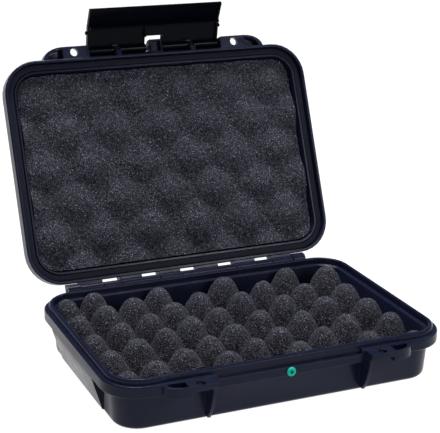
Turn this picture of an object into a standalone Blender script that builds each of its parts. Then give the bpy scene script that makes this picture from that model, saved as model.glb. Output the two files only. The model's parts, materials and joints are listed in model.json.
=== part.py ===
# Small hard carrying case with its lid open: two moulded shells on a rear hinge, one wide front latch,
# a rim seal, a vent seal and two sheets of egg-crate foam.
# Metres, +Z up. The origin is on the table, under the middle of the rim's outline, front towards -Y.
# The lid and the latch are drawn where they lie when the case is shut, then turned open on their axes.

import bpy
import bmesh
import numpy as np
from math import cos, hypot, sin, pi, radians
from mathutils import Matrix, Vector

# Driving sizes of the rim, which both shells share
rim_width = 0.230
rim_depth = 0.1568
rim_corner_radius = 0.024
smallest_radius = 0.004
corner_steps = 8
edge_round = 0.0006
running_gap = 0.0003
joining = 0.0008
overrun = 0.002

# Base shell
base_height = 0.0316
base_band_height = 0.0076
base_wall_inset = 0.0059
base_wall_draft = 0.0015
base_wall = 0.0027
base_floor = 0.0030
base_foot_radius = 0.0036
base_foot_steps = 3
tongue_inset = 0.0030
tongue_height = 0.0034
tongue_width = 0.0030
tongue_round = 0.0010
ledge_drop = 0.0042
inner_floor_radius = 0.0014

# Skirt panels on the two sides of the base
skirt_length = 0.081
skirt_foot_inset = 0.0066
skirt_foot_height = 0.0026

# Lid shell
lid_lip_to_roof = 0.0211
lid_band_height = 0.0098
lid_wall_inset = 0.0061
lid_wall_draft = 0.0011
lid_roof = 0.0030
lid_roof_radius = 0.0036
lid_roof_steps = 3
lip_width = 0.0021
channel_depth = 0.0068
ridge_inset = 0.0071
ridge_depth = 0.0033
cavity_inset = 0.0086
lid_inner_radius = 0.0014

# Seal in the lid's channel
gasket_side_gap = 0.0004
gasket_thickness = 0.0029

# Rear hinge
hinge_behind_rim = 0.0048
hinge_above_base = 0.0003
hinge_pin_radius = 0.0015
hinge_bore_gap = 0.0002
hinge_pitch = 0.0292
base_knuckle_places = (-2, -1, 0, 1, 2)
lid_knuckle_places = (-2.5, -1.5, -0.5, 0.5, 1.5, 2.5)
lid_knuckle_width = 0.0164
base_knuckle_width = 0.0122
hinge_half_length = 0.0910
lid_knuckle_radius = 0.0032
base_knuckle_radius = 0.0030
end_knuckle_radius = 0.0040
knuckle_steps = 20
lid_web_height = 0.0080
base_web_height = 0.0062
stop_heel_length = 0.0050
pin_end_inset = 0.0006
pin_middle_gap = 0.0010
lid_open_angle = 113.36

# Latch and the pin that carries it
latch_pivot_front = 0.0050
latch_pivot_height = 0.0071
latch_pin_radius = 0.0015
latch_bore_gap = 0.0002
latch_width = 0.1004
latch_barrel_radius = 0.0032
latch_barrel_steps = 20
latch_skin = 0.0021
latch_fold_drop = 0.0179
latch_fold_inward = 0.0027
latch_tip_drop = 0.0318
latch_tip_inward = 0.0092
latch_wall = 0.0018
latch_wall_reach = 0.0038
hook_thickness = 0.0023
hook_reach = 0.0017
hook_gap = 0.0003
pad_width = 0.0150
peg_radius = 0.00135
peg_length = 0.0014
peg_drop = 0.0136
peg_back = 0.0010
window_width = 0.0124
window_drop = 0.0092
latch_rest_from_shut = 66.6

# Lid's brackets and keeper box that hold the latch pin
bracket_place = 0.0285
bracket_width = 0.0040
bracket_foot_back = 0.0011
keeper_width = 0.0092
keeper_front = 0.0046
keeper_wall = 0.0012
keeper_depth = 0.0036
cradle_turn = 55
cheek_inner_face = 0.0507
cheek_width = 0.0034

# Padlock lugs of both shells: a plate with the padlock's hole, and a deeper outer block with a pocket
lug_inner_face = 0.0520
lug_outer_end = 0.0845
lug_flat_end = 0.0700
lug_arc_steps = 6
lug_hole_place = 0.0615
lug_hole_front = 0.0042
lug_hole_radius = 0.0029
lug_hole_steps = 20
lug_rib = 0.0017
lug_plate = 0.0038
lug_block = 0.0068
lug_pocket_floor = 0.0012
base_lug_reach = 0.0078
base_lug_drop = 0.0010
lid_lug_reach = 0.0084
gusset_width = 0.0020
gusset_top_reach = 0.0060
gusset_bend_reach = 0.0052
gusset_bend_height = 0.0145
gusset_foot_inset = 0.0025
gusset_foot_height = 0.0032
gusset_steps = 5

# Latch ledge and vent on the base's front band
ledge_half_width = 0.0495
ledge_cut_depth = 0.0030
ledge_band_height = 0.0061
ledge_setback = 0.0002
vent_height = 0.0030
vent_bore_radius = 0.0018
vent_seal_radius = 0.0029
vent_seal_crown_radius = 0.0019
vent_seal_thickness = 0.0014
vent_seal_hole_radius = 0.0009
vent_stem_radius = 0.0015
vent_stem_length = 0.0030
vent_seal_steps = 24

# Egg-crate foam
foam_gap = 0.0003
base_foam_valley = 0.0110
base_foam_peak = 0.0305
lid_foam_valley_depth = 0.0100
lid_foam_peak_depth = 0.0141
foam_column_pitch = 0.0237
foam_row_pitch = 0.0293
foam_row_shift = 0.0134
foam_first_peak = (0.0160, -0.0040)
foam_steps_per_bump = 5
foam_dome_radius = 0.0150
foam_dome_power = 2.4

# Places that follow from the sizes above
half_width = rim_width / 2
half_depth = rim_depth / 2
lid_lip_z = base_height + running_gap
roof_z = lid_lip_z + lid_lip_to_roof
ceiling_z = roof_z - lid_roof
channel_z = lid_lip_z + channel_depth
tongue_top_z = base_height + tongue_height
hinge_y = half_depth + hinge_behind_rim
hinge_z = base_height + hinge_above_base
latch_y = -half_depth - latch_pivot_front
latch_z = base_height + latch_pivot_height
band_front_y = -half_depth
base_lug_top_z = base_height - base_lug_drop
base_plate_low_z = base_lug_top_z - lug_plate
latch_ledge_z = base_height - ledge_cut_depth
latch_ledge_low_z = latch_ledge_z - ledge_band_height
foot_inset = base_wall_inset + base_wall_draft
base_inner_inset = base_wall_inset + base_wall
floor_inset = foot_inset + base_wall
arm_low_z = lid_lip_z + running_gap
latch_outer_y = latch_y - latch_barrel_radius
vent_z = latch_ledge_low_z + vent_height
vent_seal_front_y = band_front_y + ledge_setback - running_gap - vent_seal_thickness


def clear_scene():
    for old in list(bpy.data.objects):
        bpy.data.objects.remove(old, do_unlink=True)


def finish(name, colour, roughness, metallic=0.0):
    """A plain material with the piece's colour."""
    made = bpy.data.materials.new(name)
    made.use_nodes = True
    shader = made.node_tree.nodes["Principled BSDF"]
    shader.inputs["Base Color"].default_value = (*colour, 1.0)
    shader.inputs["Roughness"].default_value = roughness
    shader.inputs["Metallic"].default_value = metallic
    return made


def new_piece(name, points, faces, material=None):
    mesh = bpy.data.meshes.new(name)
    mesh.from_pydata([tuple(point) for point in points], [], faces)
    shaped = bmesh.new()
    shaped.from_mesh(mesh)
    bmesh.ops.recalc_face_normals(shaped, faces=shaped.faces)
    shaped.to_mesh(mesh)
    shaped.free()
    piece = bpy.data.objects.new(name, mesh)
    bpy.context.collection.objects.link(piece)
    if material:
        mesh.materials.append(material)
    return piece


def loft(name, rings, material=None):
    """Closed body through rings that all have the same number of points, capped at both ends."""
    count = len(rings[0])
    points = [point for ring in rings for point in ring]
    faces = [list(range(count)), [len(points) - count + index for index in range(count)]]
    for row in range(len(rings) - 1):
        for index in range(count):
            after = (index + 1) % count
            low, high = row * count, (row + 1) * count
            faces.append([low + index, low + after, high + after, high + index])
    return new_piece(name, points, faces, material)


def ring_band(name, rings, material=None):
    """Closed hoop: the last ring joins the first again."""
    count = len(rings[0])
    points = [point for ring in rings for point in ring]
    faces = []
    for row in range(len(rings)):
        above = (row + 1) % len(rings)
        for index in range(count):
            after = (index + 1) % count
            faces.append([row * count + index, row * count + after,
                          above * count + after, above * count + index])
    return new_piece(name, points, faces, material)


def rim_outline(inset):
    """The rim's rounded rectangle, drawn in by an inset."""
    radius = max(rim_corner_radius - inset, smallest_radius)
    reach_x, reach_y = half_width - inset - radius, half_depth - inset - radius
    outline = []
    for corner, (side_x, side_y) in enumerate(((1, 1), (-1, 1), (-1, -1), (1, -1))):
        for step in range(corner_steps + 1):
            turn = (corner + step / corner_steps) * pi / 2
            outline.append((side_x * reach_x + radius * cos(turn), side_y * reach_y + radius * sin(turn)))
    return outline


def rim_rings(section):
    return [[(x, y, height) for x, y in rim_outline(inset)] for inset, height in section]


def arc(centre, radius, start, end, steps):
    """Points of an arc in a plane, angles in degrees."""
    turns = [radians(start + (end - start) * step / steps) for step in range(steps + 1)]
    return [(centre[0] + radius * cos(turn), centre[1] + radius * sin(turn)) for turn in turns]


def along_x(name, profile, low, high, material=None):
    """A profile of (y, z) points pushed along X."""
    return loft(name, [[(x, y, z) for y, z in profile] for x in (low, high)], material)


def along_z(name, outline, low, high, material=None):
    return loft(name, [[(x, y, z) for x, y in outline] for z in (low, high)], material)


def rod_x(name, centre, radius, low, high, steps=knuckle_steps, material=None):
    circle = arc(centre, radius, 0, 360, steps)[:-1]
    return along_x(name, circle, low, high, material)


def block(name, low, high):
    corners = [(low[0], low[1]), (high[0], low[1]), (high[0], high[1]), (low[0], high[1])]
    return along_z(name, corners, low[2], high[2])


def mirrored(points, side):
    return [(side * x, y) for x, y in points]


def combine(piece, tool, operation):
    """Apply one exact Boolean and remove its tool."""
    modifier = piece.modifiers.new("shape", "BOOLEAN")
    modifier.operation = operation
    modifier.solver = "EXACT"
    modifier.object = tool
    depsgraph = bpy.context.evaluated_depsgraph_get()
    made = bpy.data.meshes.new_from_object(piece.evaluated_get(depsgraph))
    piece.modifiers.clear()
    piece.data = made
    bpy.data.objects.remove(tool, do_unlink=True)


def add(piece, tool):
    combine(piece, tool, "UNION")


def cut(piece, tool):
    combine(piece, tool, "DIFFERENCE")


def smooth(piece, angle=35):
    piece.data.shade_smooth()
    piece.data.set_sharp_from_angle(angle=radians(angle))


def quarter_bend(start_x, span_x, back, span_y):
    """Quarter ellipse in plan, from the lug's straight front round to its back."""
    turns = [step / lug_arc_steps * pi / 2 for step in range(lug_arc_steps + 1)]
    return [(start_x + span_x * sin(turn), back - span_y * cos(turn)) for turn in turns]


def make_lug(side, reach, mating_z, away):
    """Padlock lug, whose plate and deeper outer block hang away (1 up, -1 down) from the mating face."""
    front, back = band_front_y - reach, band_front_y + joining
    plate_z, block_z = mating_z + away * lug_plate, mating_z + away * lug_block
    outline = [(lug_inner_face, back), (lug_inner_face, front)]
    outline += quarter_bend(lug_flat_end, lug_outer_end - lug_flat_end, back, back - front)
    low, high = sorted((mating_z, block_z))
    lug = along_z("lug", mirrored(outline, side), low, high)

    # Clear the room under the plate
    ends = sorted((side * (lug_inner_face - overrun), side * (lug_flat_end - lug_rib)))
    low, high = sorted((plate_z, block_z + away * overrun))
    cut(lug, block("under_plate", (ends[0], front - overrun, low), (ends[1], back + overrun, high)))

    # The padlock's hole
    hole = arc((side * lug_hole_place, band_front_y - lug_hole_front), lug_hole_radius, 0, 360, lug_hole_steps)
    low, high = sorted((mating_z - away * overrun, plate_z + away * overrun))
    cut(lug, along_z("lug_hole", hole[:-1], low, high))

    # The blind pocket of the outer block, open on the mating face
    pocket_end = lug_outer_end - lug_rib * 2
    pocket = [(lug_flat_end, back + overrun)]
    pocket += quarter_bend(lug_flat_end, pocket_end - lug_flat_end, band_front_y, reach - lug_rib)
    pocket += [(pocket_end, back + overrun)]
    low, high = sorted((mating_z - away * overrun, block_z - away * lug_pocket_floor))
    cut(lug, along_z("lug_pocket", mirrored(pocket, side), low, high))
    return lug


def curve(start, bend, end, steps):
    """Points of a smooth curve that leaves start towards bend and arrives at end from it."""
    shares = [step / steps for step in range(steps + 1)]
    return [tuple(first * (1 - share) ** 2 + middle * 2 * share * (1 - share) + last * share ** 2
                  for first, middle, last in zip(start, bend, end)) for share in shares]


def build_base(material):
    foot_turns = [step / base_foot_steps * pi / 2 for step in range(base_foot_steps + 1)]
    foot = [(foot_inset + base_foot_radius * (1 - sin(turn)), base_foot_radius * (1 - cos(turn)))
            for turn in foot_turns]
    band_low_z = base_height - base_band_height
    tongue_inner = tongue_inset + tongue_width
    section = foot + [
        (base_wall_inset, band_low_z),
        (edge_round, band_low_z),
        (0, band_low_z + edge_round),
        (0, base_height - edge_round),
        (edge_round, base_height),
        (tongue_inset, base_height),
        (tongue_inset, tongue_top_z - tongue_round),
        (tongue_inset + tongue_round, tongue_top_z),
        (tongue_inner - edge_round, tongue_top_z),
        (tongue_inner, tongue_top_z - edge_round),
        (tongue_inner, tongue_top_z - ledge_drop),
        (base_inner_inset, tongue_top_z - ledge_drop - edge_round),
        (floor_inset, base_floor + inner_floor_radius),
        (floor_inset + inner_floor_radius, base_floor),
    ]
    shell = loft("base_shell", rim_rings(section), material)

    # Skirt panels: each runs from the band's outer edge down to the foot
    skirt_profile = [
        (half_width, band_low_z + joining),
        (half_width, band_low_z),
        (half_width - skirt_foot_inset, skirt_foot_height),
        (half_width - foot_inset - joining, skirt_foot_height),
        (half_width - base_wall_inset - joining, band_low_z + joining),
    ]
    for side in (-1, 1):
        rings = [[(side * x, y, z) for x, z in skirt_profile]
                 for y in (-skirt_length / 2, skirt_length / 2)]
        add(shell, loft("skirt", rings))

    # Ledge for the latch: the rim band is cut away here and a lower one stands in its place
    cut(shell, block("ledge_cut", (-ledge_half_width, band_front_y - overrun, band_low_z - overrun),
                     (ledge_half_width, band_front_y + tongue_inset, base_height + overrun)))
    ledge_front_y = band_front_y + ledge_setback
    ledge_back_y = band_front_y + base_wall_inset + joining
    ledge = [
        (ledge_front_y + edge_round, latch_ledge_low_z),
        (ledge_front_y, latch_ledge_low_z + edge_round),
        (ledge_front_y, latch_ledge_z - edge_round),
        (ledge_front_y + edge_round, latch_ledge_z),
        (ledge_back_y, latch_ledge_z),
        (ledge_back_y, latch_ledge_low_z),
    ]
    ledge_end = ledge_half_width + joining
    add(shell, along_x("ledge_band", ledge, -ledge_end, ledge_end))

    # Padlock lugs with the gussets that stiffen them
    gusset = curve((band_front_y - gusset_top_reach, base_plate_low_z + joining),
                   (band_front_y - gusset_bend_reach, gusset_bend_height),
                   (band_front_y + gusset_foot_inset, gusset_foot_height), gusset_steps)
    gusset += [
        (band_front_y + foot_inset + joining, gusset_foot_height),
        (band_front_y + base_wall_inset + joining, base_plate_low_z + joining),
    ]
    for side in (-1, 1):
        add(shell, make_lug(side, base_lug_reach, base_lug_top_z, -1))
        edges = sorted((side * lug_inner_face, side * (lug_inner_face + gusset_width)))
        add(shell, along_x("gusset", gusset, edges[0], edges[1]))

    # Hinge knuckles: seven on the pitch, the outer two longer, with heels that stop the lid
    web = [
        (half_depth - joining, hinge_z - base_web_height),
        (hinge_y, hinge_z - base_knuckle_radius),
        (hinge_y, hinge_z),
        (half_depth - joining, base_height - edge_round - running_gap),
    ]
    for number in base_knuckle_places:
        middle = number * hinge_pitch
        low, high = middle - base_knuckle_width / 2, middle + base_knuckle_width / 2
        add(shell, along_x("web", web, low, high))
        add(shell, rod_x("knuckle", (hinge_y, hinge_z), base_knuckle_radius, low, high))
    open_turn = radians(lid_open_angle)
    out_y, out_z = -cos(open_turn), sin(open_turn)
    reach = hinge_behind_rim - running_gap
    heel = [
        (hinge_y + reach * out_y, hinge_z + reach * out_z),
        (hinge_y + reach * out_y + stop_heel_length * out_z, hinge_z + reach * out_z - stop_heel_length * out_y),
        (hinge_y + end_knuckle_radius, hinge_z - end_knuckle_radius / 2),
        (hinge_y, hinge_z - end_knuckle_radius),
        (half_depth - joining, hinge_z - base_web_height),
        (half_depth - joining, base_height - edge_round - running_gap),
    ]
    inner_end = lid_knuckle_places[-1] * hinge_pitch + lid_knuckle_width / 2 + running_gap
    for side in (-1, 1):
        edges = sorted((side * inner_end, side * hinge_half_length))
        add(shell, along_x("heel", heel, edges[0], edges[1]))
        add(shell, rod_x("end_knuckle", (hinge_y, hinge_z), end_knuckle_radius, edges[0], edges[1]))
    bore = hinge_pin_radius + hinge_bore_gap
    cut(shell, rod_x("hinge_bore", (hinge_y, hinge_z), bore, -hinge_half_length - overrun,
                     hinge_half_length + overrun))

    # Vent bore through the ledge and the wall
    circle = arc((0, vent_z), vent_bore_radius, 0, 360, vent_seal_steps)[:-1]
    rings = [[(x, y, z) for x, z in circle]
             for y in (band_front_y - overrun, band_front_y + base_inner_inset + overrun)]
    cut(shell, loft("vent_bore", rings))
    smooth(shell)
    return shell


def build_lid(material):
    roof_turns = [step / lid_roof_steps * pi / 2 for step in range(lid_roof_steps + 1)]
    roof_inset = lid_wall_inset + lid_wall_draft
    roof_edge = [(roof_inset + lid_roof_radius * (1 - sin(turn)), roof_z - lid_roof_radius * (1 - cos(turn)))
                 for turn in roof_turns]
    band_top_z = lid_lip_z + lid_band_height
    ridge_z = lid_lip_z + ridge_depth
    section = roof_edge + [
        (lid_wall_inset, band_top_z),
        (edge_round, band_top_z),
        (0, band_top_z - edge_round),
        (0, lid_lip_z + edge_round),
        (edge_round, lid_lip_z),
        (lip_width, lid_lip_z),
        (lip_width, channel_z),
        (ridge_inset, channel_z),
        (ridge_inset, ridge_z),
        (cavity_inset, ridge_z),
        (cavity_inset + lid_wall_draft, ceiling_z - lid_inner_radius),
        (cavity_inset + lid_wall_draft + lid_inner_radius, ceiling_z),
    ]
    shell = loft("lid_shell", rim_rings(section), material)

    # Arms that reach forward to the latch pin: two brackets, the end cheeks and the keeper box, with a
    # cradle behind the latch's barrel
    pin_centre = (latch_y, latch_z)
    top = [(band_front_y + joining, latch_z + latch_barrel_radius / 2)]
    foot = [(band_front_y + joining, arm_low_z)]
    bracket = foot + [(latch_y + bracket_foot_back, arm_low_z)]
    bracket += arc(pin_centre, latch_barrel_radius, 270, 90, latch_barrel_steps // 2) + top
    for middle in (-bracket_place, bracket_place):
        add(shell, along_x("bracket", bracket, middle - bracket_width / 2, middle + bracket_width / 2))
    cheek = foot + [(latch_outer_y, arm_low_z)]
    cheek += arc(pin_centre, latch_barrel_radius, 180, 90, lug_arc_steps) + top
    for side in (-1, 1):
        edges = sorted((side * cheek_inner_face, side * (cheek_inner_face + cheek_width)))
        add(shell, along_x("cheek", cheek, edges[0], edges[1]))
    cradle = [(band_front_y + joining, latch_z)]
    cradle += arc(pin_centre, latch_barrel_radius + running_gap, 0, cradle_turn, lug_arc_steps)
    cradle += [(band_front_y + joining, latch_z + latch_barrel_radius)]
    add(shell, along_x("cradle", cradle, -cheek_inner_face - joining, cheek_inner_face + joining))
    keeper_y = latch_y - keeper_front
    keeper = foot + [
        (keeper_y, arm_low_z),
        (keeper_y, latch_z - latch_barrel_radius / 2),
        (latch_outer_y, latch_z + latch_barrel_radius / 2),
        (latch_y, latch_z + latch_barrel_radius),
    ] + top
    add(shell, along_x("keeper", keeper, -keeper_width / 2, keeper_width / 2))
    hollow = keeper_width / 2 - keeper_wall
    cut(shell, block("keeper_hollow", (-hollow, keeper_y + keeper_wall, arm_low_z - overrun),
                     (hollow, band_front_y - keeper_wall, arm_low_z + keeper_depth)))
    for side in (-1, 1):
        add(shell, make_lug(side, lid_lug_reach, arm_low_z, 1))
    pin_bore = latch_pin_radius + latch_bore_gap
    reach = cheek_inner_face + cheek_width + running_gap
    cut(shell, rod_x("latch_bore", pin_centre, pin_bore, -reach, reach))

    # Hinge knuckles: six between the base's seven
    web = [
        (half_depth - joining, lid_lip_z + running_gap),
        (hinge_y, hinge_z),
        (hinge_y + lid_knuckle_radius, hinge_z),
        (half_depth + joining, lid_lip_z + lid_web_height),
        (half_depth - joining, lid_lip_z + lid_web_height),
    ]
    for number in lid_knuckle_places:
        middle = number * hinge_pitch
        low, high = middle - lid_knuckle_width / 2, middle + lid_knuckle_width / 2
        add(shell, along_x("web", web, low, high))
        add(shell, rod_x("knuckle", (hinge_y, hinge_z), lid_knuckle_radius, low, high))
    bore = hinge_pin_radius + hinge_bore_gap
    cut(shell, rod_x("hinge_bore", (hinge_y, hinge_z), bore, -hinge_half_length, hinge_half_length))
    smooth(shell)
    return shell


def build_gasket(material):
    outer, inner = lip_width + gasket_side_gap, ridge_inset - gasket_side_gap
    top = channel_z - running_gap
    section = [(outer, top), (outer, top - gasket_thickness), (inner, top - gasket_thickness), (inner, top)]
    gasket = ring_band("lid_gasket", rim_rings(section), material)
    smooth(gasket)
    return gasket


def build_latch(material):
    """One moulding, drawn where it lies when it is shut."""
    fold_y, fold_z = latch_outer_y + latch_fold_inward, latch_z - latch_fold_drop
    tip_y, tip_z = latch_outer_y + latch_tip_inward, latch_z - latch_tip_drop
    half = latch_width / 2
    skin = [
        (latch_y, latch_z + latch_barrel_radius - edge_round),
        (latch_outer_y + edge_round, latch_z + latch_barrel_radius / 2),
        (latch_outer_y, latch_z),
        (fold_y, fold_z),
        (tip_y, tip_z + edge_round),
        (tip_y + edge_round, tip_z),
        (tip_y + latch_skin, tip_z),
        (fold_y + latch_skin, fold_z),
        (latch_outer_y + latch_skin, latch_z),
    ]
    latch = along_x("latch", skin, -half, half, material)
    add(latch, rod_x("barrel", (latch_y, latch_z), latch_barrel_radius, -half, half, latch_barrel_steps))

    # Shallow end walls, which follow the skin's two slopes
    wall = [
        (latch_outer_y + edge_round, latch_z),
        (fold_y + edge_round, fold_z),
        (tip_y + edge_round, tip_z + edge_round),
        (tip_y + latch_wall_reach - edge_round, tip_z + edge_round),
        (fold_y + latch_wall_reach, fold_z),
        (latch_outer_y + latch_wall_reach, latch_z),
    ]
    for low in (-half, half - latch_wall):
        add(latch, along_x("end_wall", wall, low, low + latch_wall))

    # Hook rib along the whole width, which catches under the base's ledge
    hook_top = latch_ledge_low_z - hook_gap
    hook_end = band_front_y + hook_reach
    hook = [
        (fold_y + joining, hook_top),
        (hook_end - edge_round, hook_top),
        (hook_end, hook_top - edge_round),
        (hook_end - hook_thickness / 2, hook_top - hook_thickness),
        (fold_y + joining, hook_top - hook_thickness),
    ]
    add(latch, along_x("hook", hook, -half + joining, half - joining))

    # Pad that covers the vent, between the hook and the window
    pad_y = vent_seal_front_y - running_gap
    add(latch, block("pad", (-pad_width / 2, fold_y - joining, hook_top - joining),
                     (pad_width / 2, pad_y, latch_z - window_drop + joining)))

    # Pegs on the end walls
    peg_centre = (latch_y + peg_back, latch_z - peg_drop)
    for side in (-1, 1):
        edges = sorted((side * (half - joining), side * (half + peg_length)))
        add(latch, rod_x("peg", peg_centre, peg_radius, edges[0], edges[1]))

    # Room for the lid's brackets and keeper, the window, and the pin's bore
    swing = latch_barrel_radius + running_gap
    reach = bracket_width / 2 + running_gap
    for middle in (-bracket_place, bracket_place):
        cut(latch, rod_x("bracket_room", (latch_y, latch_z), swing, middle - reach, middle + reach,
                         latch_barrel_steps))
    cut(latch, block("window", (-window_width / 2, latch_outer_y - overrun, latch_z - window_drop),
                     (window_width / 2, band_front_y, latch_z + latch_barrel_radius + overrun)))
    bore = latch_pin_radius + latch_bore_gap
    cut(latch, rod_x("pin_bore", (latch_y, latch_z), bore, -half - overrun, half + overrun))
    smooth(latch)
    return latch


def build_pins(material):
    outer = hinge_half_length - pin_end_inset
    left = rod_x("hinge_pin_left", (hinge_y, hinge_z), hinge_pin_radius, -outer, -pin_middle_gap, material=material)
    right = rod_x("hinge_pin_right", (hinge_y, hinge_z), hinge_pin_radius, pin_middle_gap, outer, material=material)
    reach = cheek_inner_face + cheek_width - pin_end_inset
    latch_pin = rod_x("latch_pin", (latch_y, latch_z), latch_pin_radius, -reach, reach, material=material)
    for pin in (left, right, latch_pin):
        smooth(pin)
    return latch_pin


def build_vent_seal(material):
    """Round seal turned about the vent's axis: a domed flange before the ledge and a stem in the bore."""
    flange_back_y = band_front_y + ledge_setback - running_gap
    middle_y = flange_back_y - vent_seal_thickness / 2
    section = [
        (vent_seal_hole_radius, flange_back_y + vent_stem_length),
        (vent_seal_hole_radius, middle_y),
        (vent_seal_hole_radius + edge_round, vent_seal_front_y),
        (vent_seal_crown_radius, vent_seal_front_y),
        (vent_seal_radius, middle_y),
        (vent_seal_radius, flange_back_y),
        (vent_stem_radius, flange_back_y),
        (vent_stem_radius, flange_back_y + vent_stem_length),
    ]
    rings = []
    for step in range(vent_seal_steps):
        turn = 2 * pi * step / vent_seal_steps
        rings.append([(radius * cos(turn), y, vent_z + radius * sin(turn)) for radius, y in section])
    seal = ring_band("vent_seal", rings, material)
    smooth(seal, 50)
    return seal


def bump_share(x, y):
    """Height of the egg-crate face as a share, 1 on a peak, from the distance to the nearest peak of a
    slanting lattice. Each peak is a dome with a full round top and steep sides."""
    column = round((x - foam_first_peak[0]) / foam_column_pitch)
    nearest = foam_row_pitch
    for near_column in (column - 1, column, column + 1):
        peak_x = foam_first_peak[0] + near_column * foam_column_pitch
        first_y = foam_first_peak[1] + near_column * foam_row_shift
        peak_y = first_y + round((y - first_y) / foam_row_pitch) * foam_row_pitch
        nearest = min(nearest, hypot(x - peak_x, y - peak_y))
    return 1 - min(nearest / foam_dome_radius, 1) ** foam_dome_power


def foam_sheet(name, walls, flat_z, valley_z, peak_z, material):
    """A sheet with a flat face at flat_z and an egg-crate face between valley_z and peak_z.
    Its grid follows the slanting lattice, so each peak has a point of its own, and the sheet is then
    cut by the room inside the shell's walls, through peaks and valleys alike."""
    step_x = foam_column_pitch / foam_steps_per_bump
    step_y = foam_row_pitch / foam_steps_per_bump
    slant = foam_row_shift / foam_column_pitch
    count_x = int(half_width / step_x) + 1
    count_y = int((half_depth + half_width * slant) / step_y) + 1
    columns = range(-count_x, count_x + 1)
    rows = range(-count_y, count_y + 1)
    points, faces = [], []
    for row in rows:
        for column in columns:
            x = foam_first_peak[0] + column * step_x
            y = foam_first_peak[1] + row * step_y + column * step_x * slant
            points.append((x, y, valley_z + (peak_z - valley_z) * bump_share(x, y)))
    width, height = len(columns), len(rows)
    for row in range(height - 1):
        for column in range(width - 1):
            low = row * width + column
            faces.append([low, low + 1, low + width + 1, low + width])
    edge = [index for index in range(width)]
    edge += [width * row + width - 1 for row in range(1, height)]
    edge += [width * (height - 1) + index for index in range(width - 2, -1, -1)]
    edge += [width * row for row in range(height - 2, 0, -1)]
    first = len(points)
    points += [(points[index][0], points[index][1], flat_z) for index in edge]
    for place, index in enumerate(edge):
        after = (place + 1) % len(edge)
        faces.append([index, edge[after], first + after, first + place])
    faces.append([first + place for place in range(len(edge))])
    sheet = new_piece(name, points, faces, material)
    combine(sheet, loft("foam_room", rim_rings(walls)), "INTERSECT")
    smooth(sheet, 60)
    return sheet


def build_foams(material):
    base_walls = [
        (floor_inset + inner_floor_radius + foam_gap, base_floor),
        (floor_inset + foam_gap, base_floor + inner_floor_radius + foam_gap),
        (base_inner_inset + foam_gap, tongue_top_z - ledge_drop),
        (base_inner_inset + foam_gap, tongue_top_z),
    ]
    foam_sheet("base_foam", base_walls, base_floor + running_gap, base_foam_valley, base_foam_peak, material)
    lid_walls = [
        (cavity_inset + foam_gap, lid_lip_z),
        (cavity_inset + foam_gap, lid_lip_z + ridge_depth),
        (cavity_inset + lid_wall_draft + foam_gap, ceiling_z - lid_inner_radius - foam_gap),
        (cavity_inset + lid_wall_draft + lid_inner_radius + foam_gap, ceiling_z),
    ]
    return foam_sheet("lid_foam", lid_walls, ceiling_z - running_gap, ceiling_z - lid_foam_valley_depth,
                      ceiling_z - lid_foam_peak_depth, material)


def axis_empty(name, place, turn, parent=None):
    """An empty on a joint's axis, turned about X. Its pieces turn with it."""
    empty = bpy.data.objects.new(name, None)
    bpy.context.collection.objects.link(empty)
    empty.parent = parent
    empty.location = place
    empty.rotation_euler.x = radians(turn)
    return empty


def carry(piece, empty, axis_point):
    """Give a piece drawn in the shut case its origin on the joint's axis."""
    piece.data.transform(Matrix.Translation(-Vector(axis_point)))
    piece.parent = empty


def main():
    clear_scene()
    shell_plastic = finish("shell_plastic", (0.020, 0.022, 0.032), 0.42)
    seal_rubber = finish("seal_rubber", (0.035, 0.036, 0.045), 0.6)
    foam_grey = finish("foam_grey", (0.045, 0.045, 0.052), 0.95)
    pin_steel = finish("pin_steel", (0.45, 0.46, 0.48), 0.3, 1.0)
    seal_green = finish("seal_green", (0.02, 0.40, 0.27), 0.5)

    build_base(shell_plastic)
    build_vent_seal(seal_green)
    lid = build_lid(shell_plastic)
    gasket = build_gasket(seal_rubber)
    latch = build_latch(shell_plastic)
    latch_pin = build_pins(pin_steel)
    lid_foam = build_foams(foam_grey)

    hinge_point = (0, hinge_y, hinge_z)
    latch_point = (0, latch_y, latch_z)
    lid_axis = axis_empty("lid_axis", hinge_point, -lid_open_angle)
    latch_place = Vector(latch_point) - Vector(hinge_point)
    latch_axis = axis_empty("latch_axis", latch_place, -latch_rest_from_shut, lid_axis)
    for piece in (lid, gasket, lid_foam, latch_pin):
        carry(piece, lid_axis, hinge_point)
    carry(latch, latch_axis, latch_point)


main()
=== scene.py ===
# %% [markdown]
# A small hard carrying case, shown open. Two moulded shells turn on a rear hinge, and one wide lever latch
# hangs on the lid. Egg-crate foam fills both shells. The solids that carry, turn and fit are made beforehand,
# and this script gives them their finished surfaces: soft moulded edges, satin plastic with a fine grain,
# cellular foam, rubber and steel. All of it could be built here, but pieces that must fit and move are
# easier to trust when they come from one exact model, so the first step loads that model.

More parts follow.
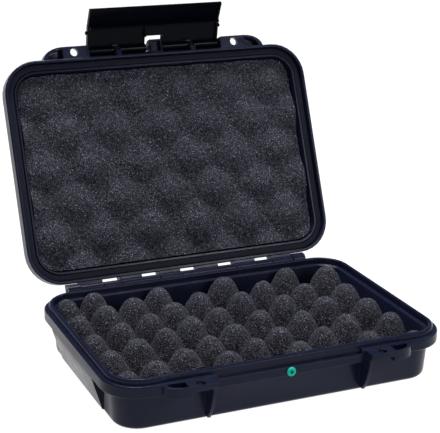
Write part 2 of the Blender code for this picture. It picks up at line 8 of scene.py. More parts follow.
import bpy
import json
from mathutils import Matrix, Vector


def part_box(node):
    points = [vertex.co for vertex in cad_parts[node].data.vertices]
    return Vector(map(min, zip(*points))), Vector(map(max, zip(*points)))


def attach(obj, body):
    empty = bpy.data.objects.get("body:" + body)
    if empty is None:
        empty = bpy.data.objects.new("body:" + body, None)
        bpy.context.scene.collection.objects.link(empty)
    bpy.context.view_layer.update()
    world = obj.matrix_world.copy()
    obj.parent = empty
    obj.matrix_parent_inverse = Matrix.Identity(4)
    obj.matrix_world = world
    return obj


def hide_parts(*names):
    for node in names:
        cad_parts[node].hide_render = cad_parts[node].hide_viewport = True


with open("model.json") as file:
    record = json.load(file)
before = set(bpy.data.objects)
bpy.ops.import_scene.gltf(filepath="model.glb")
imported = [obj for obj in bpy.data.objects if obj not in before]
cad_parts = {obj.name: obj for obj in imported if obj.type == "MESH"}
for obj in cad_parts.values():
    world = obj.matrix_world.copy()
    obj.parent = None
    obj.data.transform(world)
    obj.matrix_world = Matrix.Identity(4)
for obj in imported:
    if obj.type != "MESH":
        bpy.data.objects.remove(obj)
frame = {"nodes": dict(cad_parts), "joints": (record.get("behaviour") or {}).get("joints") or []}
print("pieces in the solid model:", len(frame["nodes"]))

# %% [markdown]
# Blender counts in metres, so a millimetre gets a name of its own.

# %% A millimetre
import json
import math

import bmesh
import bpy
import numpy as np
from mathutils import Matrix, Vector

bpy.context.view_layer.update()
mm = 0.001

# %% [markdown]
# The lid is stored open. Its pieces could be drawn leaning back as they stand, but they are easier to think
# of in the shut case, where the lid lies flat on the base. So they are drawn there and then turned open
# about the hinge. The hinge's place and travel are read from the model, so the drawing follows the real axis.

# %% Turn points of the shut lid to where the open lid holds them
hinge = next(joint for joint in frame["joints"] if joint["name"] == "lid_hinge")
hinge_point = np.array(hinge["pos_m"])
lid_travel = math.radians(hinge["range_deg"][1])


def open_lid(points):
    """Rotate rows of x, y, z about the hinge by the lid's travel: y and z turn, x stays."""
    away = points - hinge_point
    turned = away.copy()
    turned[:, 1] = away[:, 1] * math.cos(lid_travel) + away[:, 2] * math.sin(lid_travel)
    turned[:, 2] = away[:, 2] * math.cos(lid_travel) - away[:, 1] * math.sin(lid_travel)
    return turned + hinge_point


print("lid stands open by", hinge["range_deg"][1], "degrees")

# %% [markdown]
# No real surface is one flat colour, so each gets a material made of nodes. Nodes can be wired by hand in
# the editor, but helpers keep them short and easy to change. One adds a node and sets its sockets, and one
# feeds a socket with a value or with another node. Noise has its values crowded round the middle, so two
# named ranges say which part of it is stretched to go from nothing to all.

# %% Helpers for nodes
middle_noise, most_noise = (0.35, 0.65), (0.3, 0.7)


def add_node(tree, kind, settings=None, **sockets):
    """Add one node, set its options and the values of its sockets."""
    node = tree.nodes.new(kind)
    for option, value in (settings or {}).items():
        setattr(node, option, value)
    for socket, value in sockets.items():
        node.inputs[socket.replace("_", " ")].default_value = value
    return node


def feed(tree, value, socket):
    """Link another node's output to a socket, or set the socket to a colour or a number."""
    if isinstance(value, bpy.types.NodeSocket):
        tree.links.new(value, socket)
    elif isinstance(value, tuple):
        socket.default_value = (*value, 1)
    else:
        socket.default_value = value


def spread(tree, value, low, high, low_out, high_out):
    """Map a value from the range low to high onto the range low_out to high_out, in a straight line."""
    node = add_node(tree, "ShaderNodeMapRange", From_Min=low, From_Max=high, To_Min=low_out, To_Max=high_out)
    tree.links.new(value, node.inputs["Value"])
    return node.outputs["Result"]


def combine(tree, operation, first, second):
    """Add, subtract, multiply or raise two values, each a socket or a number."""
    node = add_node(tree, "ShaderNodeMath", {"operation": operation})
    feed(tree, first, node.inputs[0])
    feed(tree, second, node.inputs[1])
    return node.outputs[0]


def tint(tree, share, dark, light):
    """A colour that goes from dark to light as the share goes from 0 to 1."""
    mix = add_node(tree, "ShaderNodeMix", {"data_type": "RGBA"})
    feed(tree, dark, mix.inputs["A"])
    feed(tree, light, mix.inputs["B"])
    feed(tree, share, mix.inputs["Factor"])
    return next(output for output in mix.outputs if output.type == "RGBA")


print("noise is read over", middle_noise, "or", most_noise)

# %% [markdown]
# Three more helpers belong to a whole material. A pattern could follow a picture wrapped on each piece, but
# noise in the object's own coordinates needs no wrapping and runs through corners without a seam. Those
# coordinates are in metres, so a noise scale of 1000 means a grain of about one millimetre.

# %% Helpers for materials


def start_material(name):
    """A material with its Principled shader and the object's coordinates."""
    material = bpy.data.materials.new(name)
    material.use_nodes = True
    tree = material.node_tree
    place = add_node(tree, "ShaderNodeTexCoord").outputs["Object"]
    return material, tree, tree.nodes["Principled BSDF"], place


def grain(tree, place, scale, detail, roughness):
    """Noise read at the object's coordinates: scale is how many grains go into a metre."""
    noise = add_node(tree, "ShaderNodeTexNoise", Scale=scale, Detail=detail, Roughness=roughness)
    tree.links.new(place, noise.inputs["Vector"])
    return noise.outputs["Fac"]


def emboss(tree, height, shader, depth, strength):
    """Bump: the shader's normal leans as if the surface rose by height times depth."""
    bump = add_node(tree, "ShaderNodeBump", Strength=strength, Distance=depth)
    tree.links.new(height, bump.inputs["Height"])
    tree.links.new(bump.outputs["Normal"], shader.inputs["Normal"])


print("a noise scale of 1000 makes grains of", 1 / 1000 / mm, "mm")

# %% [markdown]
# Both shells and the latch are moulded in a tough satin plastic, nearly black with a blue cast. The mould
# leaves a very fine grain, and handling leaves patches that are a little smoother. So the colour and the
# roughness wander slowly over the piece, and a fine noise gives the grain as a shallow bump. Modelling the
# grain as a mesh would need millions of faces. The case stands in a white room, which a dark plastic
# mirrors and turns grey. So it bends light less than most plastics do, and the latch less still.

# %% Satin moulded plastic
cloud_scale, patch_scale, mould_grain_scale = 38, 90, 3600
mould_grain_depth, mould_grain_strength = 0.02 * mm, 0.5
glossier, duller = 0.05, 0.06


def moulded_plastic(name, dark, light, gloss, bending):
    """Colour drifts from dark to light, roughness drifts round gloss, and bending is the refractive index."""
    material, tree, shader, place = start_material(name)
    cloud = grain(tree, place, cloud_scale, detail=4, roughness=0.6)
    colour = tint(tree, spread(tree, cloud, *middle_noise, 0, 1), dark, light)
    tree.links.new(colour, shader.inputs["Base Color"])
    patches = grain(tree, place, patch_scale, detail=5, roughness=0.7)
    sheen = spread(tree, patches, *most_noise, gloss - glossier, gloss + duller)
    tree.links.new(sheen, shader.inputs["Roughness"])
    fine = grain(tree, place, mould_grain_scale, detail=2, roughness=0.6)
    emboss(tree, fine, shader, mould_grain_depth, mould_grain_strength)
    shader.inputs["IOR"].default_value = bending
    return material


shell_plastic = moulded_plastic("shell_plastic", dark=(0.0060, 0.0076, 0.0200),
                                light=(0.0080, 0.0100, 0.0255), gloss=0.24, bending=1.21)
# The latch gets a copy of the same plastic whose colour is several times darker than the shell's. That
# darkness is painted shade, for the latch's faces that turn down and away from the lamps.
shaded_latch_plastic = moulded_plastic("shaded_latch_plastic", dark=(0.0010, 0.0014, 0.0032),
                                light=(0.0016, 0.0022, 0.0046), gloss=0.17, bending=1.13)
print("plastics:", shell_plastic.name, "and", shaded_latch_plastic.name)

# %% [markdown]
# The rim seal is a soft dark rubber, duller than the plastic, and the little seal round the vent is a green
# one. A rubber's skin is finer and duller than a plastic's. It could be the plastic's material with other
# numbers, but its colour and its gloss drift together, so one noise drives both.

# %% Seal rubber, dark and green
rubber_cloud_scale, rubber_grain_scale = 160, 2200
rubber_grain_depth, rubber_grain_strength = 0.03 * mm, 0.4
rubber_bending = 1.2
rubber_duller = 0.1


def seal_rubber(name, dark, light, gloss):
    """Colour drifts from dark to light while roughness rises from gloss by a tenth, by the same noise."""
    material, tree, shader, place = start_material(name)
    cloud = grain(tree, place, rubber_cloud_scale, detail=3, roughness=0.6)
    colour = tint(tree, spread(tree, cloud, *most_noise, 0, 1), dark, light)
    tree.links.new(colour, shader.inputs["Base Color"])
    sheen = spread(tree, cloud, *most_noise, gloss, gloss + rubber_duller)
    tree.links.new(sheen, shader.inputs["Roughness"])
    fine = grain(tree, place, rubber_grain_scale, detail=3, roughness=0.6)
    emboss(tree, fine, shader, rubber_grain_depth, rubber_grain_strength)
    shader.inputs["IOR"].default_value = rubber_bending
    return material


rim_rubber = seal_rubber("rim_rubber", dark=(0.0060, 0.0072, 0.0150), light=(0.0090, 0.0105, 0.0200),
                         gloss=0.60)
vent_rubber = seal_rubber("vent_rubber", dark=(0.004, 0.330, 0.235), light=(0.008, 0.420, 0.300), gloss=0.45)
print("rubbers:", rim_rubber.name, "and", vent_rubber.name)

# %% [markdown]
# The hinge and latch pins are drawn steel. Drawing pulls the rod through a die and leaves fine lines along
# it. An anisotropic shader could only bend the highlight, so the lines are drawn themselves: a noise is
# stretched along X by a Mapping node, and it drives both colour and roughness.

# %% Drawn steel
line_scale = 5200
along, across = 0.02, 1
dark_steel, pale_steel = (0.34, 0.35, 0.37), (0.56, 0.57, 0.60)
glossy_steel, dull_steel = 0.24, 0.40


def drawn_steel(name):
    """Noise read at x times a fiftieth, y and z makes long lines, from dark and glossy to pale and dull."""
    material, tree, shader, place = start_material(name)
    stretch = add_node(tree, "ShaderNodeMapping")
    stretch.inputs["Scale"].default_value = (along, across, across)
    tree.links.new(place, stretch.inputs["Vector"])
    lines = grain(tree, stretch.outputs["Vector"], line_scale, detail=3, roughness=0.7)
    tree.links.new(tint(tree, lines, dark_steel, pale_steel), shader.inputs["Base Color"])
    tree.links.new(spread(tree, lines, *most_noise, glossy_steel, dull_steel), shader.inputs["Roughness"])
    shader.inputs["Metallic"].default_value = 1.0
    return material


pin_steel = drawn_steel("pin_steel")
print("steel:", pin_steel.name)

# %% [markdown]
# Open-cell foam is a froth of tiny bubbles cut open. Where a bubble is open one looks into a dark hole, and
# where its wall is cut it catches the light, so the surface is a salt and pepper of cells just under a
# millimetre. Such cells are too many to model, so their shade and light are painted into the colour: a
# Voronoi texture parts space into cells and gives each one three random numbers. The first, with a noise that
# frays the outlines, says how deep the cell is and how much painted shade its hole gets. The second, raised
# to a high power, is near nothing in most cells and large in a few, and picks the pale specks, which are
# painted glints of light on cut walls.

# %% Charcoal foam
froth_share = 1.3
deep, shallow = 0.25, 1.05
glint_power = 9.0
glint_edge, glint_middle = 0.5, 0.2
foam_depth, foam_strength = 0.45 * mm, 0.9
foam_roughness, foam_bending = 0.9, 1.3


def cell_foam(name, hole_shade, wall, glint, cell_size):
    """Height is a random number plus froth, times one minus the distance from the cell's middle. It sets the
    colour from the painted shade of the hole to the wall colour and drives the bump. A second number to a
    high power adds the pale specks, which are painted glints."""
    material, tree, shader, place = start_material(name)
    cells = add_node(tree, "ShaderNodeTexVoronoi", Scale=1 / cell_size, Randomness=1.0)
    tree.links.new(place, cells.inputs["Vector"])
    number = add_node(tree, "ShaderNodeSeparateColor")
    tree.links.new(cells.outputs["Color"], number.inputs["Color"])
    froth = grain(tree, place, froth_share / cell_size, detail=3, roughness=0.7)
    dome = combine(tree, "SUBTRACT", 1.0, cells.outputs["Distance"])
    height = combine(tree, "MULTIPLY", combine(tree, "ADD", number.outputs["Red"], froth), dome)
    # Painted shade: the deeper the cell, the nearer its colour comes to the dark shade of its hole.
    body = tint(tree, spread(tree, height, deep, shallow, 0, 1), hole_shade, wall)
    # Painted glints: a few cells turn pale, as cut walls catching the light.
    pale = combine(tree, "POWER", number.outputs["Green"], glint_power)
    inside = spread(tree, cells.outputs["Distance"], glint_edge, glint_middle, 0, 1)
    glint_mask = combine(tree, "MULTIPLY", pale, inside)
    tree.links.new(tint(tree, glint_mask, body, glint), shader.inputs["Base Color"])
    emboss(tree, height, shader, foam_depth, foam_strength)
    shader.inputs["Roughness"].default_value = foam_roughness
    shader.inputs["IOR"].default_value = foam_bending
    return material


# The darkest colour is painted shade in the cells' holes, and the palest is painted glints on cut walls.
foam_material = cell_foam("charcoal_foam", hole_shade=(0.006, 0.006, 0.008), wall=(0.070, 0.069, 0.098),
                          glint=(0.36, 0.36, 0.46), cell_size=0.8 * mm)
print("foam:", foam_material.name)

# %% [markdown]
# The shells and the latch keep the exact shape of their solids. Those are facets with knife edges, while a
# moulded edge is always a little round and shows as a thin bright line. Subdividing would soften the whole
# shape, so only the edges are rolled: a copy of each solid has its doubled points merged and its flat faces
# joined, and a Bevel modifier rounds every edge by a fraction of a millimetre. Smooth shading runs over the
# small turns only. The copy then stands for the solid.

# %% Rolled edges for the moulded pieces
edge_roll, edge_segments = 0.22 * mm, 2
doubles_apart = 0.002 * mm
flat_turn, sharp_turn = math.radians(0.4), math.radians(28)


def moulding(node, body, material):
    """A copy of a solid with rolled edges, which stands for that solid."""
    piece = bpy.data.objects.new(node + "_moulding", frame["nodes"][node].data.copy())
    bpy.context.scene.collection.objects.link(piece)
    shaped = bmesh.new()
    shaped.from_mesh(piece.data)
    bmesh.ops.remove_doubles(shaped, verts=shaped.verts, dist=doubles_apart)
    bmesh.ops.dissolve_limit(shaped, angle_limit=flat_turn, verts=shaped.verts, edges=shaped.edges,
                             use_dissolve_boundaries=False)
    shaped.to_mesh(piece.data)
    shaped.free()
    piece.data.materials.clear()
    piece.data.materials.append(material)
    piece.data.shade_smooth()
    bevel = piece.modifiers.new("rolled edges", "BEVEL")
    bevel.width = edge_roll
    bevel.segments = edge_segments
    bevel.limit_method = "ANGLE"
    bevel.angle_limit = sharp_turn
    bevel.use_clamp_overlap = False
    bevel.harden_normals = True
    bevel.miter_outer = "MITER_ARC"
    piece.data.set_sharp_from_angle(angle=sharp_turn)
    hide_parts(node)
    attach(piece, body)
    print(node, "has", len(piece.data.polygons), "faces after its flats are joined")


moulding("base_shell", "base", shell_plastic)
moulding("lid_shell", "lid", shell_plastic)
moulding("latch", "latch", shaded_latch_plastic)

# %% [markdown]
# The seal follows the rim, so it is a small outline carried round a rounded rectangle. A curve with a bevel
# could do it, but arrays keep the section upright and even in the corners. The path is four arcs of the
# corner radius joined by straight runs, and a function of the inset gives the whole loop at once.

# %% The rim's path
rim_half = (115.0 * mm, 78.4 * mm)
rim_corner = 24.0 * mm
lip_height = hinge_point[2]
corner_points = 24


def rim_path(inset):
    """x and y round the rounded rectangle: for each corner its centre plus radius times cosine and sine."""
    radius = rim_corner - inset
    turn = np.concatenate([np.linspace(k, k + 1, corner_points) for k in range(4)]) * math.pi / 2
    side_x = np.repeat([1, -1, -1, 1], corner_points)
    side_y = np.repeat([1, 1, -1, -1], corner_points)
    x = side_x * (rim_half[0] - inset - radius) + radius * np.cos(turn)
    y = side_y * (rim_half[1] - inset - radius) + radius * np.sin(turn)
    return x, y


print("rim is", round(2 * rim_half[0] / mm, 1), "by", round(2 * rim_half[1] / mm, 1), "mm")

# %% [markdown]
# Loops of points become a closed hoop when each point is joined to its neighbour and to the loop beside it.
# The faces are counted out as one array of corners. A last helper turns points and faces into a smooth
# piece, has its faces look outwards, and names the body that it moves with.

# %% From points to a piece
hoop_sharp_turn = math.radians(50)


def hoop_faces(rows, columns):
    """Quads between neighbours: row r and column c with the next of each, and the last joins the first."""
    row, column = np.meshgrid(np.arange(rows), np.arange(columns), indexing="ij")
    above, after = (row + 1) % rows, (column + 1) % columns
    corners = [row * columns + column, row * columns + after]
    corners += [above * columns + after, above * columns + column]
    return np.stack(corners, -1).reshape(-1, 4)


def new_mesh(name, points, faces, material, body, slot, *nodes):
    """A smooth piece from arrays of points and faces, facing out, riding on its body."""
    mesh = bpy.data.meshes.new(name)
    mesh.from_pydata(points.tolist(), [], [list(face) for face in faces])
    shaped = bmesh.new()
    shaped.from_mesh(mesh)
    bmesh.ops.recalc_face_normals(shaped, faces=shaped.faces)
    shaped.to_mesh(mesh)
    shaped.free()
    mesh.materials.append(material)
    mesh.shade_smooth()
    mesh.set_sharp_from_angle(angle=hoop_sharp_turn)
    piece = bpy.data.objects.new(name, mesh)
    bpy.context.scene.collection.objects.link(piece)
    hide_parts(*nodes)
    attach(piece, body)
    print(name, "has", len(faces), "faces")
    return piece


print("a hoop of 4 loops of 6 points has", len(hoop_faces(4, 6)), "faces")

# %% [markdown]
# The rim seal lies in the lid's channel, between the outer lip and the inner ridge. It is a flat strip with
# a slightly crowned face and round shoulders. A bevelled box would do for the straight runs, but a
# superellipse gives the soft corners in one formula: cosine and sine raised to a small power. The strip is
# drawn in the shut case and turned open.

# %% The rim seal
seal_outer, seal_inner = 2.5 * mm, 6.7 * mm
seal_turns = 28
seal_thickness = 2.9 * mm
seal_squareness = 0.3
channel_depth, channel_gap = 6.8 * mm, 0.3 * mm
seal_middle = lip_height + channel_depth - channel_gap - seal_thickness / 2


def soft_box(count, half_x, half_z, power):
    """Superellipse: the sign of cosine and sine times their size raised to a power."""
    turn = np.linspace(0, 2 * math.pi, count, endpoint=False)
    x = half_x * np.sign(np.cos(turn)) * np.abs(np.cos(turn)) ** power
    z = half_z * np.sign(np.sin(turn)) * np.abs(np.sin(turn)) ** power
    return x, z


seal_width = seal_inner - seal_outer
section_x, section_z = soft_box(seal_turns, seal_width / 2, seal_thickness / 2, seal_squareness)
loops = []
for sideways, height in zip(section_x, section_z):
    x, y = rim_path((seal_outer + seal_inner) / 2 + sideways)
    loops.append(np.stack([x, y, np.full_like(x, seal_middle + height)], -1))
seal_points = open_lid(np.concatenate(loops))
new_mesh("rim_seal", seal_points, hoop_faces(seal_turns, 4 * corner_points), rim_rubber, "lid", "gasket",
         "lid_gasket")
print("seal strip is", round(seal_width / mm, 1), "mm wide")

# %% [markdown]
# The vent seal is a turned ring: a domed flange before the ledge and a stem that goes into the bore. A torus
# would have no stem, so the ring is made as a lathe makes it: a profile of radius and depth is carried round
# a circle, and two arrays hold the whole piece.

# %% The green vent seal
seal_low, seal_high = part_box("vent_seal")
vent_x, vent_z = (seal_low[0] + seal_high[0]) / 2, (seal_low[2] + seal_high[2]) / 2
flange_radius = (seal_high[2] - seal_low[2]) / 2
flange_depth = 1.4 * mm
flange_back = seal_low[1] + flange_depth
vent_hole, vent_stem = 0.9 * mm, 1.5 * mm
dome_steps, ring_steps = 14, 72
dome_power = 0.6

dome = np.linspace(0, math.pi, dome_steps)
dome_middle, dome_half = (flange_radius + vent_hole) / 2, (flange_radius - vent_hole) / 2
dome_radii = dome_middle - dome_half * np.cos(dome)
dome_depths = flange_back - (flange_back - seal_low[1]) * np.sin(dome) ** dome_power
radii = np.concatenate([[vent_hole], dome_radii, [vent_stem, vent_stem]])
depths = np.concatenate([[seal_high[1]], dome_depths, [flange_back, seal_high[1]]])
turns = np.linspace(0, 2 * math.pi, ring_steps, endpoint=False)
ring_x = vent_x + np.outer(radii, np.cos(turns))
ring_z = vent_z + np.outer(radii, np.sin(turns))
ring_y = np.repeat(depths[:, None], ring_steps, 1)
ring_points = np.stack([ring_x, ring_y, ring_z], -1).reshape(-1, 3)
new_mesh("vent_ring", ring_points, hoop_faces(len(radii), ring_steps), vent_rubber, "base", "vent_seal",
         "vent_seal")
print("vent seal is", round(2 * flange_radius / mm, 1), "mm across")

# %% [markdown]
# The pins are plain drawn rods, and their solids are just that. They could be drawn again, but nothing would
# be gained, so they stay and only get their steel.

# %% Steel on the pins
pins = ("hinge_pin_left", "hinge_pin_right", "latch_pin")
for pin in pins:
    for material_slot in frame["nodes"][pin].material_slots:
        material_slot.material = pin_steel
print(len(pins), "pins have their steel")

# %% [markdown]
# Egg-crate foam is squeezed between two studded rollers and cut, which leaves a field of round bumps in a
# staggered pattern. No two bumps are quite alike, so each gets its own slight change of height and girth.
# Spheres on a slab would meet in creases. Here the height of the sheet is a soft maximum over all bumps,
# the logarithm of a sum of exponentials, so neighbours flow together in a smooth saddle.

# %% A field of bumps
sharpness = 9.0
lower, taller, girth_drift = -0.07, 0.05, 0.06
narrow_lean, wide_lean = 0.92, 1.08
ripple_waves = 26
shortest, longest = 0.7, 1.8


def bump_field(x, y, peaks, girth, fullness, seed):
    """Share of full height at each point: every bump is half a cosine of the distance raised to fullness,
    and a soft maximum joins them."""
    rng = np.random.default_rng(seed)
    total = np.zeros_like(x)
    for peak_x, peak_y in peaks:
        height = 1 + rng.uniform(lower, taller)
        wide = girth * (1 + rng.uniform(-girth_drift, girth_drift))
        lean = rng.uniform(narrow_lean, wide_lean)
        distance = np.hypot((x - peak_x) * lean, (y - peak_y) / lean) / wide
        bump = height * (0.5 + 0.5 * np.cos(math.pi * np.minimum(distance, 1) ** fullness))
        total += np.exp(sharpness * bump) - 1
    return np.log1p(total) / sharpness


def ripple(x, y, size, seed):
    """Smooth random unevenness between about -1 and 1: a sum of sine waves in random directions."""
    rng = np.random.default_rng(seed)
    total = np.zeros_like(x)
    for _ in range(ripple_waves):
        turn, phase = rng.uniform(0, 2 * math.pi, 2)
        length = size * rng.uniform(shortest, longest)
        total += np.sin((x * math.cos(turn) + y * math.sin(turn)) * 2 * math.pi / length + phase)
    return total / math.sqrt(ripple_waves)


print("a bump's height drifts from", 1 + lower, "to", 1 + taller)

# %% [markdown]
# The sheet's plan is a rounded rectangle. Cutting its corners from a square grid would leave ragged faces,
# so the grid itself is pressed into the outline: each point near a corner is drawn in along its line from
# the corner's centre, less and less towards the middle. The top follows the bumps, a short wall drops to the
# back, and one flat face closes it.

# %% A sheet of foam
corner_fade = 8
least_reach = 1e-6


def round_corners(u, v, half_x, half_y, radius):
    """Scale the square from -1 to 1 to the sheet, then pull each point beyond a corner's centre back on its
    line to that centre, by how far the line's end stands past the radius, fading inwards by a high power."""
    reach = np.maximum(np.maximum(np.abs(u), np.abs(v)), least_reach)
    over_x = np.maximum(np.abs(u / reach) * half_x - (half_x - radius), 0)
    over_y = np.maximum(np.abs(v / reach) * half_y - (half_y - radius), 0)
    beyond = np.hypot(over_x, over_y)
    in_corner = (over_x > 0) & (over_y > 0)
    pull = np.where(in_corner, radius / np.maximum(beyond, radius) - 1, 0) * reach ** corner_fade
    return u * half_x + np.sign(u) * over_x * pull, v * half_y + np.sign(v) * over_y * pull


def foam_sheet(half_x, half_y, radius, back_z, cell, top_height):
    """Points and faces of a closed sheet: a grid whose z is top_height of x and y, a wall and a flat back."""
    columns, rows = int(2 * half_x / cell), int(2 * half_y / cell)
    u, v = np.meshgrid(np.linspace(-1, 1, columns), np.linspace(-1, 1, rows))
    x, y = round_corners(u, v, half_x, half_y, radius)
    top = np.stack([x, y, top_height(x, y)], -1).reshape(-1, 3)
    low = np.arange((rows - 1) * columns).reshape(rows - 1, columns)[:, :-1]
    faces = np.stack([low, low + 1, low + 1 + columns, low + columns], -1).reshape(-1, 4).tolist()
    edge = np.concatenate([np.arange(columns), columns * np.arange(1, rows) + columns - 1,
                           columns * (rows - 1) + np.arange(columns - 2, -1, -1),
                           columns * np.arange(rows - 2, 0, -1)])
    back = top[edge].copy()
    back[:, 2] = back_z
    first = len(top)
    place = np.arange(len(edge))
    after = (place + 1) % len(edge)
    faces += np.stack([edge, first + place, first + after, edge[after]], -1).tolist()
    faces.append((first + place).tolist())
    return np.concatenate([top, back]), faces


print("the pull at a corner fades with power", corner_fade)

# %% [markdown]
# The bumps stand in a slanting lattice. A sheet that is stuffed into a shell lies a little askew, so the
# columns spread and the rows bend from left to right. Every bump could be given its place by hand, but two
# steps and a square term say the same with a few numbers. Each bump then strays by up to a millimetre.

# %% The lattice of bumps
most_columns, most_rows = 8, 12


def lattice(first, column, row, shift, stretch, bend, stray, beyond, seed):
    """Places x, y of the bumps near the sheet: x and y grow by steps per column and row, plus a square
    term of the column."""
    rng = np.random.default_rng(seed)
    all_columns = np.arange(-most_columns, most_columns + 1)
    all_rows = np.arange(-most_rows, most_rows + 1)
    columns, rows = np.meshgrid(all_columns, all_rows)
    x = first[0] + columns * column + columns ** 2 * stretch
    y = first[1] + rows * row + columns * shift + columns ** 2 * bend
    x, y = x + rng.uniform(-stray, stray, x.shape), y + rng.uniform(-stray, stray, y.shape)
    near = (np.abs(x) < rim_half[0] + column) & (np.abs(y) < rim_half[1] + beyond)
    return list(zip(x[near], y[near]))


print("the lattice is laid for", 2 * most_columns + 1, "columns")

# %% [markdown]
# In the base the bumps are tall with full round tops, and they stand a little above the rim. A cushion of
# cloth simulation would swell evenly and lose them, so the sheet keeps its worked-out shape. Close to the
# front and rear walls it stays low, as the real one does at the rear, because no bump is centred there.

# %% Foam in the base
base_peaks = lattice(first=(15.5 * mm, -1.0 * mm), column=24.6 * mm, row=30.0 * mm, shift=15.0 * mm,
                     stretch=0.35 * mm, bend=0.70 * mm, stray=0.9 * mm, beyond=-5.5 * mm, seed=5)
base_low, base_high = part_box("base_foam")
side_gap, base_corner, base_cell = 0.2 * mm, 15 * mm, 0.62 * mm
base_half_x, base_half_y = base_high[0] - side_gap, base_high[1] - side_gap
base_valley, base_peak = 11.5 * mm, 34.5 * mm
base_girth, base_fullness = 17.2 * mm, 1.42
base_wave, base_unevenness = 5 * mm, 0.18 * mm


def base_height(x, y):
    """z of the sheet's top: the valley plus the bumps' share of the rise, plus a fine ripple."""
    share = bump_field(x, y, base_peaks, base_girth, base_fullness, seed=11)
    uneven = ripple(x, y, base_wave, seed=12) * base_unevenness
    return base_valley + (base_peak - base_valley) * share + uneven


points, faces = foam_sheet(base_half_x, base_half_y, base_corner, base_low[2], base_cell, base_height)
base_foam = new_mesh("base_egg_crate", points, faces, foam_material, "base", "foam", "base_foam")
print("base foam has", len(base_peaks), "bumps")

# %% [markdown]
# The lid's sheet is pressed flatter: its bumps are low, wide and soft. It could share the base's lattice, but
# the real one lies otherwise, in narrower columns with longer steps along them. It is drawn shut, face down,
# and turned open with the lid.

# %% Foam in the lid
lid_peaks = lattice(first=(15.0 * mm, -1.8 * mm), column=17.85 * mm, row=49.8 * mm, shift=24.9 * mm,
                    stretch=0, bend=0, stray=0.8 * mm, beyond=25 * mm, seed=6)
lid_wall, lid_corner, lid_cell = 9.9 * mm, 14 * mm, 0.7 * mm
lid_half_x, lid_half_y = rim_half[0] - lid_wall, rim_half[1] - lid_wall
lid_back = lip_height + 17.8 * mm
lid_valley, lid_peak = lip_height + 8.2 * mm, lip_height + 3.9 * mm
lid_girth, lid_fullness = 19.0 * mm, 1.1
lid_wave, lid_unevenness = 6 * mm, 0.15 * mm


def lid_height(x, y):
    """z of the sheet's face in the shut case: valley, bumps and ripple as in the base, hanging down."""
    share = bump_field(x, y, lid_peaks, lid_girth, lid_fullness, seed=21)
    uneven = ripple(x, y, lid_wave, seed=22) * lid_unevenness
    return lid_valley + (lid_peak - lid_valley) * share + uneven


points, faces = foam_sheet(lid_half_x, lid_half_y, lid_corner, lid_back, lid_cell, lid_height)
lid_foam = new_mesh("lid_egg_crate", open_lid(points), faces, foam_material, "lid", "foam", "lid_foam")
print("lid foam has", len(lid_peaks), "bumps")

# %% [markdown]
# The case stands on a plain white floor that runs to the horizon. A white paint under strong lamps would
# show shadows and burn out the dark case's edges. So the floor glows evenly instead, and its paint is dark
# and adds next to nothing.

# %% The floor
floor_half = 40.0
floor_paint_level = 0.05
floor_mesh = bpy.data.meshes.new("floor")
floor_corners = [(-floor_half, -floor_half, 0), (floor_half, -floor_half, 0), (floor_half, floor_half, 0),
                 (-floor_half, floor_half, 0)]
floor_mesh.from_pydata(floor_corners, [], [(0, 1, 2, 3)])
floor = bpy.data.objects.new("floor", floor_mesh)
bpy.context.scene.collection.objects.link(floor)
floor_paint, _, floor_shader, _ = start_material("white_floor")
floor_shader.inputs["Base Color"].default_value = (floor_paint_level,) * 3 + (1,)
floor_shader.inputs["Roughness"].default_value = 0.8
floor_shader.inputs["Emission Color"].default_value = (1, 1, 1, 1)
floor_shader.inputs["Emission Strength"].default_value = 1.0
floor_mesh.materials.append(floor_paint)
print("floor is", 2 * floor_half, "m wide")

# %% [markdown]
# The studio is white up to just above the horizon, so the floor has no visible end, and nearly dark above
# that, so the flat tops of the plastic mirror darkness and stay dark. One colour all round would be
# simpler, but it would turn those tops grey. The height of each ray picks the strength: Z of its direction.

# %% The studio round the case
glow_top, dark_from = 0.10, 0.22
glow_strength, dark_strength = 1.35, 0.03

world = bpy.data.worlds.new("studio")
world.use_nodes = True
world_tree = world.node_tree
backdrop = world_tree.nodes["Background"]
backdrop.inputs["Color"].default_value = (0.75, 0.80, 1.0, 1)
ray = add_node(world_tree, "ShaderNodeSeparateXYZ")
world_tree.links.new(add_node(world_tree, "ShaderNodeTexCoord").outputs["Generated"], ray.inputs["Vector"])
glow = spread(world_tree, ray.outputs["Z"], glow_top, dark_from, glow_strength, dark_strength)
world_tree.links.new(glow, backdrop.inputs["Strength"])
bpy.context.scene.world = world
bpy.context.scene.view_settings.view_transform = "Standard"
print("the glow ends", round(math.degrees(math.asin(dark_from)), 1), "degrees above the horizon")

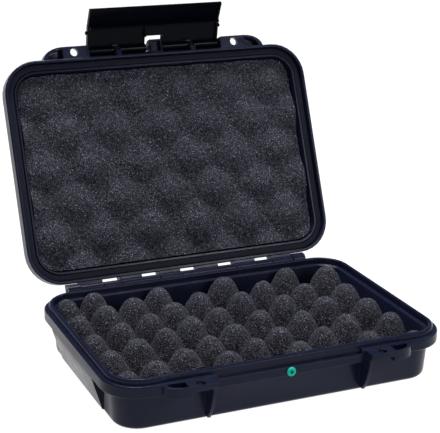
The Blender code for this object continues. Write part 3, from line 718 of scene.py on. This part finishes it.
# %% [markdown]
# Three soft lights do the rest. The broad one overhead opens the foam in the base, one at the upper right
# models the bumps in the lid from the side, and a small one at the front right stands where the open lid's
# flat rim mirrors it to the camera. A sun lamp would give hard shadows, so all three are area lights.

# %% The lights
aim = Vector((0, 0.02, 0.07))


def soft_light(name, direction, distance, size, power):
    """A square area light that looks at the case from a direction."""
    lamp = bpy.data.lights.new(name, "AREA")
    lamp.shape = "SQUARE"
    lamp.size = size
    lamp.energy = power
    light = bpy.data.objects.new(name, lamp)
    bpy.context.scene.collection.objects.link(light)
    away = Vector(direction).normalized()
    light.location = aim + away * distance
    light.rotation_mode = "QUATERNION"
    light.rotation_quaternion = away.to_track_quat("Z", "Y")
    print(name, "has", power, "watts")


soft_light("front_right", direction=(0.40, -0.80, 0.45), distance=1.5, size=0.3, power=6)
soft_light("right_top", direction=(0.9, -0.1, 0.8), distance=1.4, size=0.45, power=4.5)
soft_light("overhead", direction=(0.0, 0.25, 1.0), distance=1.4, size=0.6, power=38)

# %% [markdown]
# The camera stands where the case was seen from: at the front left, 24 degrees round from straight ahead,
# looking down by 18 degrees through a long lens. It could be aimed by a constraint, but a slight roll has to
# be kept too, so its axes are worked out from those three angles.

# %% The camera
camera_place = Vector((-0.3420, -0.7358, 0.3681))
yaw, pitch, roll = math.radians(24.02), math.radians(-18.25), math.radians(0.85)
frame_width, focal_pixels, sensor = 440, 1328.9, 36.0

forward = Vector((math.sin(yaw) * math.cos(pitch), math.cos(yaw) * math.cos(pitch), math.sin(pitch)))
level_right = Vector((math.cos(yaw), -math.sin(yaw), 0))
level_up = level_right.cross(forward)
right = level_right * math.cos(roll) + level_up * math.sin(roll)
up = level_up * math.cos(roll) - level_right * math.sin(roll)
lens = bpy.data.cameras.new("camera")
lens.sensor_width = sensor
lens.lens = sensor * focal_pixels / frame_width
lens.clip_start = 0.01
camera = bpy.data.objects.new("camera", lens)
bpy.context.scene.collection.objects.link(camera)
camera.matrix_world = Matrix.Translation(camera_place) @ Matrix((right, up, -forward)).transposed().to_4x4()
bpy.context.scene.camera = camera
print("lens is", round(lens.lens, 1), "mm")
